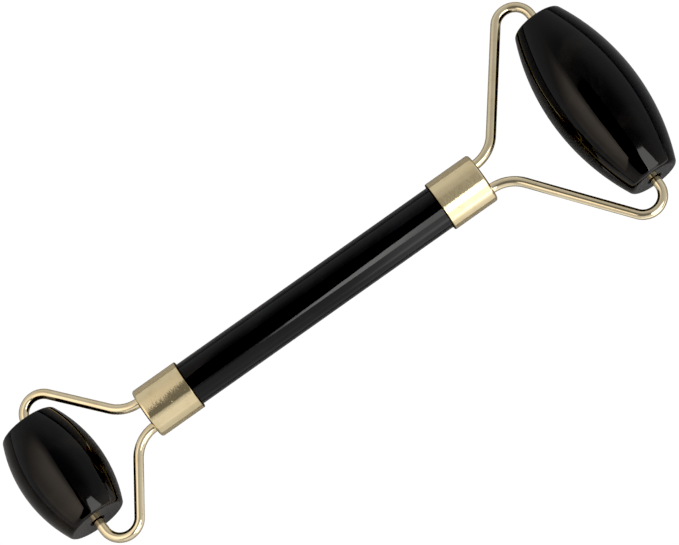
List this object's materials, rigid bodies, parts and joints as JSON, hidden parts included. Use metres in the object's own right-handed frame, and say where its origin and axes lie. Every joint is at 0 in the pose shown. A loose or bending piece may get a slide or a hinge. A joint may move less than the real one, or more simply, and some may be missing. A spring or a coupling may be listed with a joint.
{
  "type": "face roller",
  "caption": "Double-ended face massage roller: straight polished stone handle with metal ferrules, and a long and a short barrel-shaped stone roller spinning on bent wire yokes.",
  "frame": {"origin": "middle of the handle rod, on its axis", "axes": "+X along the handle towards the large roller, +Y across it along the roller axes, +Z square to the plane of the yokes"},
  "size_m": [0.1485, 0.0542, 0.0194],
  "materials": {
    "handle_stone": "polished black obsidian-like stone",
    "roller_stone": "polished black obsidian-like stone with faint smoky brown variation",
    "ferrule_plating": "mirror champagne-gold plating on drawn brass",
    "yoke_plating": "bright champagne-gold plating on drawn wire",
    "epoxy_potting": "clear amber cast epoxy",
    "bush_nylon": "dark moulded nylon"
  },
  "bodies": {
    "handle": {"handle_rod": "handle_stone", "large_ferrule": "ferrule_plating", "large_yoke_wire": "yoke_plating", "large_potting": "epoxy_potting", "small_ferrule": "ferrule_plating", "small_yoke_wire": "yoke_plating", "small_potting": "epoxy_potting"},
    "large_roller": {"large_stone": "roller_stone", "large_stone_bush_left": "bush_nylon", "large_stone_bush_right": "bush_nylon"},
    "small_roller": {"small_stone": "roller_stone", "small_stone_bush_left": "bush_nylon", "small_stone_bush_right": "bush_nylon"}
  },
  "joints": [
    {"name": "large_roller_spin", "type": "hinge", "parent": "handle", "child": "large_roller", "pos_m": [0.0684, 0, 0], "axis": [0, 1, 0], "continuous": true},
    {"name": "small_roller_spin", "type": "hinge", "parent": "handle", "child": "small_roller", "pos_m": [-0.06148, -0.00093, 0], "axis": [-0.0454, 0.999, 0], "continuous": true}
  ]
}
